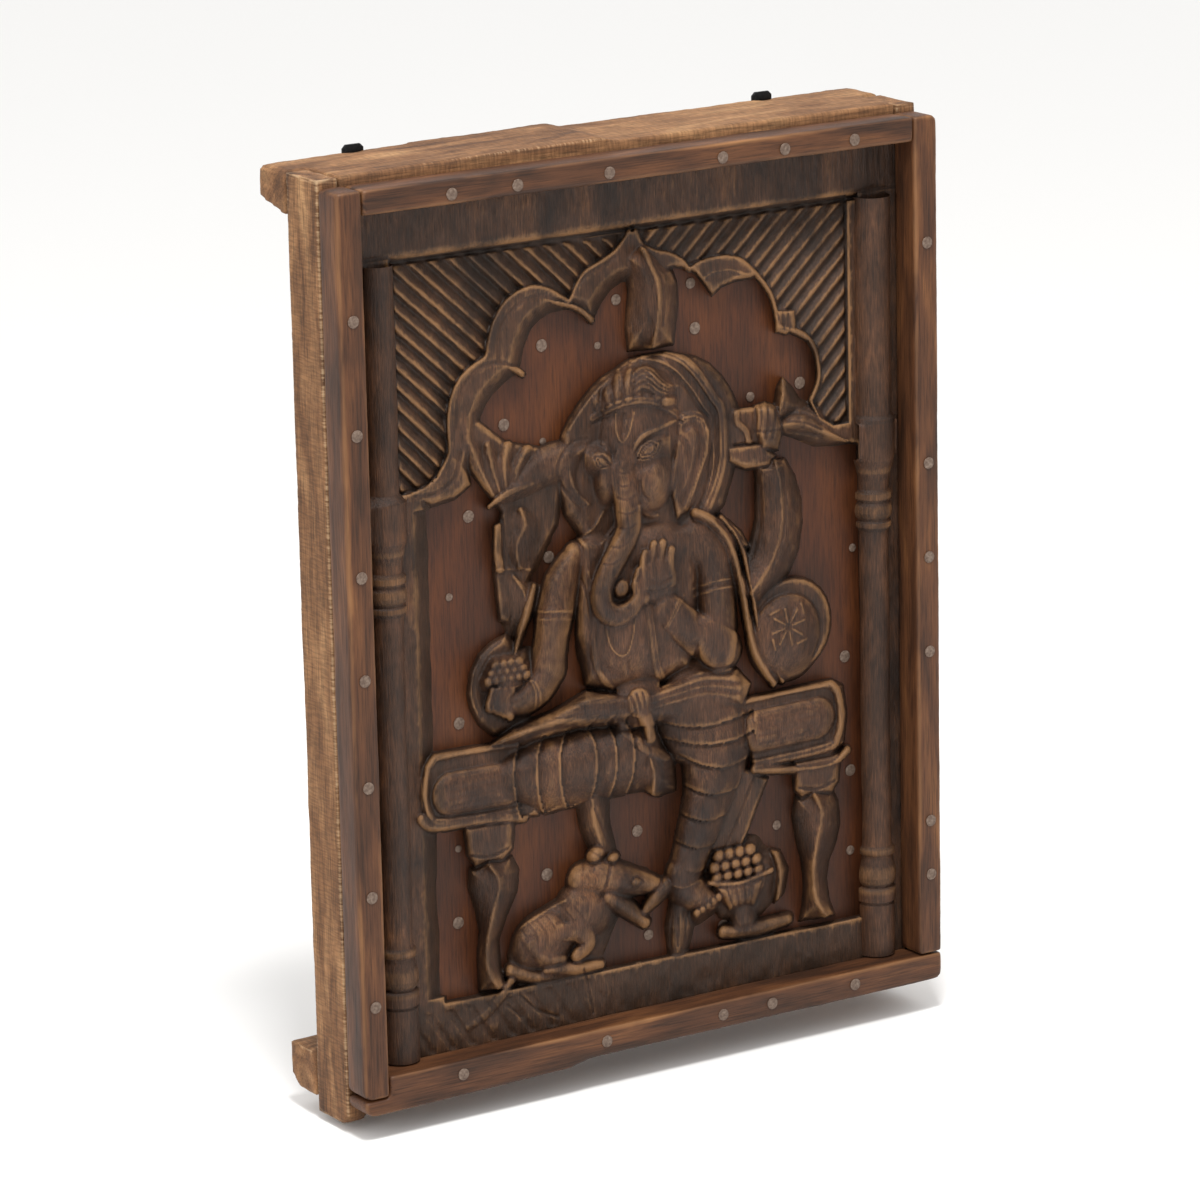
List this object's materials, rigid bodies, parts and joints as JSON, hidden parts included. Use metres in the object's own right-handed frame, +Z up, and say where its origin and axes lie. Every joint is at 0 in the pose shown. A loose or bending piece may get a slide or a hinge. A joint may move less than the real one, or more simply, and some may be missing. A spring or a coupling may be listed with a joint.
{
  "type": "carved wall panel",
  "caption": "Deep wooden box frame with nailed strips holding a pierced relief of a seated elephant-headed figure under a cusped arch, on a plain board.",
  "frame": {"origin": "middle of the top rail's back face, against the wall", "axes": "+X to the viewer's right, +Y into the wall, +Z up; the carved front faces -Y"},
  "size_m": [0.566, 0.1218, 0.775],
  "materials": {
    "frame_wood": "weathered sawn hardwood",
    "strip_wood": "worn waxed hardwood",
    "relief_wood": "dark aged carved wood, worn on the ridges",
    "ground_wood": "reddish waxed board",
    "nail_steel": "worn nail heads",
    "black_steel": "black painted steel"
  },
  "bodies": {
    "root": {"top_rail": "frame_wood", "bottom_rail": "frame_wood", "left_stile": "frame_wood", "right_stile": "frame_wood", "top_strip": "strip_wood", "bottom_strip": "strip_wood", "left_strip": "strip_wood", "right_strip": "strip_wood", "carved_relief": "relief_wood", "ground_board": "ground_wood", "left_hanger": "black_steel", "right_hanger": "black_steel", "nail_01": "nail_steel", "nail_02": "nail_steel", "nail_03": "nail_steel", "nail_04": "nail_steel", "nail_05": "nail_steel", "nail_06": "nail_steel", "nail_07": "nail_steel", "nail_08": "nail_steel", "nail_09": "nail_steel", "nail_10": "nail_steel", "nail_11": "nail_steel", "nail_12": "nail_steel", "nail_13": "nail_steel", "nail_14": "nail_steel", "nail_15": "nail_steel", "nail_16": "nail_steel", "nail_17": "nail_steel", "nail_18": "nail_steel", "nail_19": "nail_steel", "nail_20": "nail_steel", "nail_21": "nail_steel", "nail_22": "nail_steel", "nail_23": "nail_steel", "nail_24": "nail_steel"}
  },
  "joints": []
}
